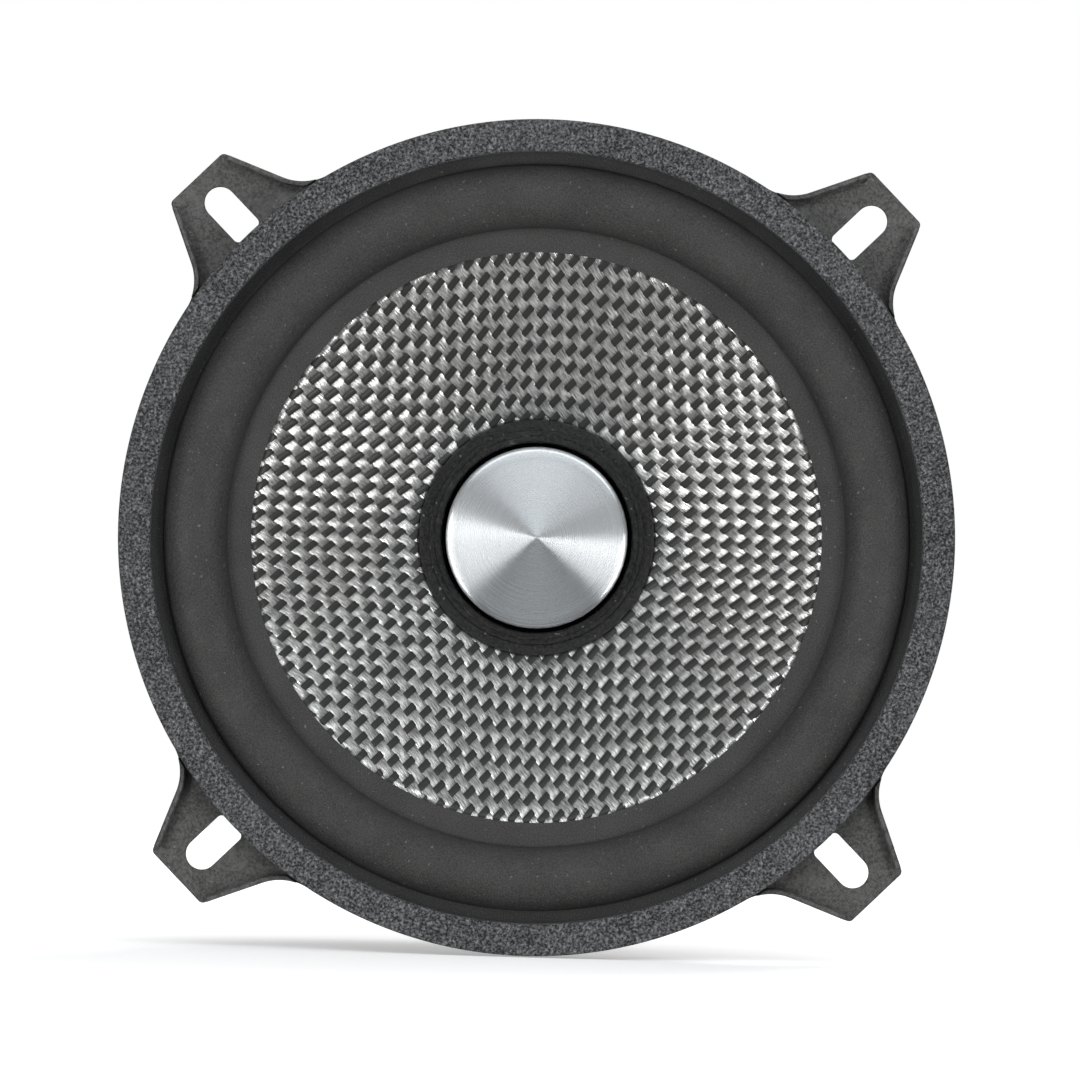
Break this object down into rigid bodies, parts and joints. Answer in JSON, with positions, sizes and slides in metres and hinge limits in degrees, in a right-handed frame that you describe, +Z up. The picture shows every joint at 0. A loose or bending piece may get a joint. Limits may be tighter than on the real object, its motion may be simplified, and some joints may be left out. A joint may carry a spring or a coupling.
{
  "type": "car speaker",
  "caption": "Round car door speaker with a woven cone, rubber surround and fixed aluminium phase plug, in a steel basket with slotted ears and a ring magnet motor.",
  "frame": {"origin": "on the speaker's axis, in the plane of the flange's rear face, which seats on the door panel", "axes": "+Y backwards along the axis, towards the magnet and into the door; +Z up; +X to the right as seen from the front"},
  "size_m": [0.13, 0.0686, 0.13],
  "materials": {
    "black_paint": "satin black electrophoretic paint",
    "gasket_foam": "matte speckled charcoal foam",
    "surround_rubber": "matte black butyl rubber",
    "woven_fibre": "silver and black woven glass fibre in clear resin",
    "collar_plastic": "semi-gloss black",
    "spider_cloth": "resin-dipped corrugated cotton",
    "former_aluminium": "thin bright foil",
    "copper": "copper wire and braid",
    "plated_steel": "clear zinc plate",
    "ferrite": "matte sintered ferrite",
    "turned_aluminium": "concentric turned face, satin",
    "board_laminate": "brown phenolic paper laminate",
    "tinned_brass": "tin plate",
    "black_glue": "glossy black contact adhesive"
  },
  "bodies": {
    "frame": {"basket": "black_paint", "gasket": "gasket_foam", "surround": "surround_rubber", "spider": "spider_cloth", "top_plate": "plated_steel", "magnet": "ferrite", "pole_yoke": "plated_steel", "phase_plug": "turned_aluminium", "plug_screw": "plated_steel", "plate_screw_1": "plated_steel", "plate_screw_2": "plated_steel", "plate_screw_3": "plated_steel", "plate_screw_4": "plated_steel", "terminal_board": "board_laminate", "board_rivet": "plated_steel", "terminal_blade_positive": "tinned_brass", "terminal_blade_negative": "tinned_brass", "blade_rivet_positive": "tinned_brass", "blade_rivet_negative": "tinned_brass", "tinsel_lead_positive": "copper", "tinsel_lead_negative": "copper"},
    "cone_assembly": {"cone": "woven_fibre", "cone_collar": "collar_plastic", "voice_coil_former": "former_aluminium", "voice_coil_winding": "copper", "lead_bead_positive": "black_glue", "lead_bead_negative": "black_glue"}
  },
  "joints": [
    {"name": "cone_travel", "type": "slide", "parent": "frame", "child": "cone_assembly", "axis": [0, -1, 0], "range_m": [-0.004, 0.004], "stiffness_N_per_m": 1250, "deforming": ["surround", "spider", "tinsel_lead_positive", "tinsel_lead_negative"]}
  ]
}
